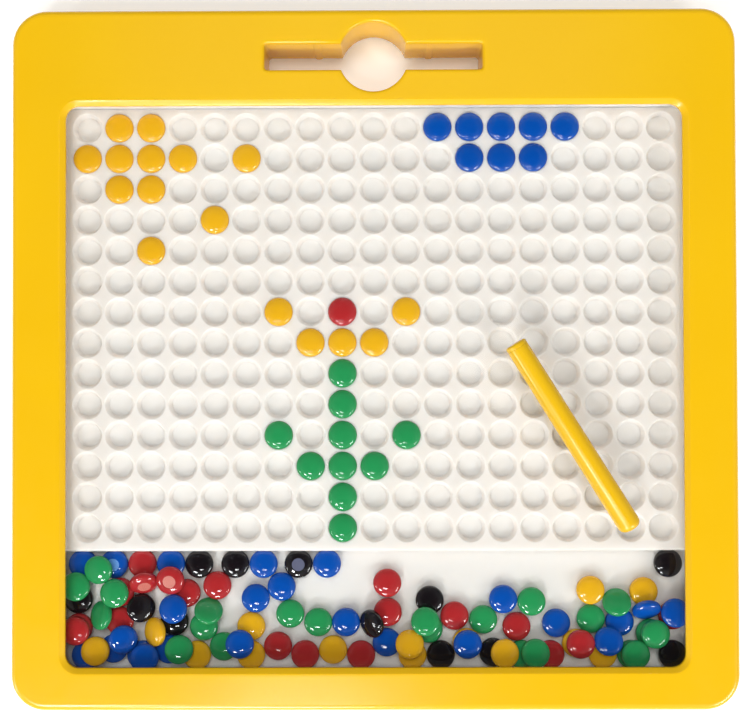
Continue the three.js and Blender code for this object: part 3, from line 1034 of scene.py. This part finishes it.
def settled(discs):
    """Drops the discs under gravity and returns where each comes to rest, as matrices in millimetres."""
    room_middle = Vector(((room_left + room_right) / 2, (room_bottom + room_top) / 2, 0))
    half = Vector(((room_right - room_left) / 2, (room_top - room_bottom) / 2, 0))
    ceiling = window_low.z
    thick = ROOM_WALL
    walls = [
        ((room_middle.x, room_middle.y, reservoir_floor - thick), (half.x + thick, half.y + thick, thick)),
        ((room_middle.x, room_middle.y, ceiling + thick), (half.x + thick, half.y + thick, thick)),
        ((room_left - thick, room_middle.y, 0), (thick, half.y + thick, 2 * thick)),
        ((room_right + thick, room_middle.y, 0), (thick, half.y + thick, 2 * thick)),
        ((room_middle.x, room_bottom - thick, 0), (half.x + thick, thick, 2 * thick)),
        ((room_middle.x, room_top + thick, 0), (half.x + thick, thick, 2 * thick)),
    ]
    bpy.ops.rigidbody.world_add()
    world = scene.rigidbody_world
    world.substeps_per_frame = SUBSTEPS
    world.solver_iterations = SUBSTEPS
    world.point_cache.frame_end = FRAMES
    scene.gravity = (0, 0, -PULL)

    def body(name, mesh, kind, shape):
        """An object that takes part in the simulation."""
        thing = bpy.data.objects.new(name, mesh)
        scene.collection.objects.link(thing)
        with bpy.context.temp_override(object=thing, active_object=thing, selected_objects=[thing]):
            bpy.ops.rigidbody.object_add(type=kind)
        thing.rigid_body.collision_shape = shape
        thing.rigid_body.friction = 0.6
        thing.rigid_body.restitution = 0
        thing.rigid_body.use_margin = True
        thing.rigid_body.collision_margin = 0
        return thing

    sides = []
    for i, (centre, size) in enumerate(walls):
        bm = bmesh.new()
        bmesh.ops.create_cube(bm, size=2)
        bmesh.ops.scale(bm, vec=Vector(size) * ENLARGED, verts=bm.verts)
        mesh = bpy.data.meshes.new("room_side")
        bm.to_mesh(mesh)
        bm.free()
        thing = body(f"room_side_{i}", mesh, "PASSIVE", "BOX")
        thing.location = Vector(centre) * ENLARGED
        sides.append(thing)
    bm = bmesh.new()
    for radius, height in disc_section():
        for x, y in circle(radius, HULL_SIDES):
            bm.verts.new(Vector((x, y, height)) * ENLARGED)
    bmesh.ops.convex_hull(bm, input=bm.verts)
    hull = bpy.data.meshes.new("disc_hull")
    bm.to_mesh(hull)
    bm.free()
    falling = []
    for i, (_, face_down, place) in enumerate(discs):
        thing = body(f"falling_{i}", hull, "ACTIVE", "CONVEX_HULL")
        thing.location = place * ENLARGED
        thing.rotation_euler = (math.pi if face_down else 0, 0, 0)
        thing.rigid_body.linear_damping = 0.3
        thing.rigid_body.angular_damping = 0.4
        falling.append(thing)
    for number in range(1, FRAMES + 1):
        scene.frame_set(number)
    rest = []
    for thing in falling:
        place = thing.matrix_world.copy()
        place.translation /= ENLARGED
        rest.append(place)
    scene.frame_set(1)
    bpy.ops.rigidbody.world_remove()
    for thing in sides + falling:
        bpy.data.objects.remove(thing)
    return rest


places = settled(loose)

for colour in disc_finishes:
    bm = bmesh.new()
    for (own_colour, _, _), place in zip(loose, places):
        if own_colour == colour:
            add_disc(bm, place)
    finished("loose_discs_" + colour, bm, [disc_finishes[colour], facet_painted_sheen_finishes[colour]], "board")
drift = [math.hypot(p.translation.x - s[2].x, p.translation.y - s[2].y) for p, s in zip(places, loose)]
print("farthest slide while settling, mm:", round(max(drift), 1))

# %% [markdown]
# ## Pen
#
# The pen is a hollow moulding, closed at its tip over the magnet and by a plug at the other end. It is a
# turned shape, so its section is lofted round its axis. The axis comes from the CAD: the mean of a
# turned piece's vertices lies on it.

# %% Pen
PEN_SIDES = 64
PEN_TIP_ROUNDING = 3
PEN_END_ROUNDING = 1
PEN_DIAMETER = 9.3
PEN_END_DIAMETER = 8.8
PEN_BORE = 6.4
PEN_TIP_WALL = 1.6
PEN_AXIS_GAP = 0.02  # least radius, so that no two points of a ring coincide
PLUG_FIT = 0.05  # the plug in the bore, and its head over the barrel's end


def mean(node):
    """Mean of a CAD node's vertices, in millimetres."""
    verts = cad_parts[node].data.vertices
    return sum((vert.co for vert in verts), Vector()) / len(verts) / MM


pen_axis = (mean("pen_magnet") - mean("pen_end_plug")).normalized()
anchor = mean("pen_barrel")


def along(node):
    """Lowest and highest place of a node's vertices along the pen, towards its tip."""
    places = [(vert.co / MM - anchor).dot(pen_axis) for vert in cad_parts[node].data.vertices]
    return min(places), max(places)


tip_at = along("pen_barrel")[1]
barrel_length = tip_at - along("pen_barrel")[0]
pen_length = tip_at - along("pen_end_plug")[0]
upright = (-pen_axis).to_track_quat("Z", "Y").to_matrix().to_4x4()
stand = Matrix.Translation(anchor + pen_axis * tip_at) @ upright


def turned(bm, section, sides):
    """Lofts a section of (radius, height) points round the pen's axis, with its tip at height 0."""
    rings = []
    for radius, height in section:
        points = [stand @ Vector((x, y, height)) for x, y in circle(max(radius, PEN_AXIS_GAP), sides)]
        rings.append([bm.verts.new(point * MM) for point in points])
    loft(bm, rings, capped=True)


bm = bmesh.new()
tip, end, bore = PEN_DIAMETER / 2, PEN_END_DIAMETER / 2, PEN_BORE / 2
turned(
    bm,
    softened(
        [
            (0.3, 0, 0),
            (tip, 0, PEN_TIP_ROUNDING),
            (end, barrel_length, 0.12),
            (bore, barrel_length, 0.12),
            (bore, PEN_TIP_WALL, 0.3),
            (0.3, PEN_TIP_WALL, 0),
        ],
        steps=8,
    ),
    PEN_SIDES,
)
finished("pen_barrel_shell", bm, [pen_abs], "pen", ["pen_barrel"])

bm = bmesh.new()
plug_start = tip_at - along("pen_end_plug")[1]
turned(
    bm,
    softened(
        [
            (0.3, plug_start, 0),
            (bore - PLUG_FIT, plug_start, 0.3),
            (bore - PLUG_FIT, barrel_length + PLUG_FIT, 0),
            (end, barrel_length + PLUG_FIT, 0.12),
            (end, pen_length, PEN_END_ROUNDING),
            (0.3, pen_length, 0),
        ],
        steps=6,
    ),
    PEN_SIDES,
)
finished("pen_plug_turned", bm, [pen_abs], "pen", ["pen_end_plug"])

# %% [markdown]
# ## CAD pieces that stay
#
# The window, the rear cover, the magnet and the screws already have the right shape, so they keep their
# CAD meshes and take a finish.

# %% Finishes for the CAD pieces
def coat(node, finish):
    """Gives a CAD node one finish."""
    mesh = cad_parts[node].data
    mesh.materials.clear()
    mesh.materials.append(finish)


coat("window", clear_polystyrene)
coat("rear_cover", yellow_abs)
coat("pen_magnet", nickel_plate)
for name in screws:
    coat(name, zinc_steel)

# %% [markdown]
# ## Floor
#
# The board lies on a white acrylic light table, which studios use to get a background almost without
# shadows. It scatters the room's light and glows a little itself. It lies a hair below the board, and
# reaches past every view.

# %% Floor
FLOOR_REACH = 3  # metres each way
FLOOR_GAP = 0.0005
FLOOR_GLOW = 0.16
bm = bmesh.new()
bmesh.ops.create_grid(bm, x_segments=8, y_segments=8, size=FLOOR_REACH)
mesh = bpy.data.meshes.new("floor")
bm.to_mesh(mesh)
bm.free()
floor = bpy.data.objects.new("floor", mesh)
floor.location.z = -FLOOR_GAP
acrylic = moulded_plastic("white_acrylic_light_table", "#fbfbfa", "#f8f8f7", 1.49, 0.6, 12.0)
glowing = acrylic.node_tree.nodes["Principled BSDF"]
glowing.inputs["Emission Color"].default_value = linear("#fffaf4")
glowing.inputs["Emission Strength"].default_value = FLOOR_GLOW
floor.data.materials.append(acrylic)
scene.collection.objects.link(floor)
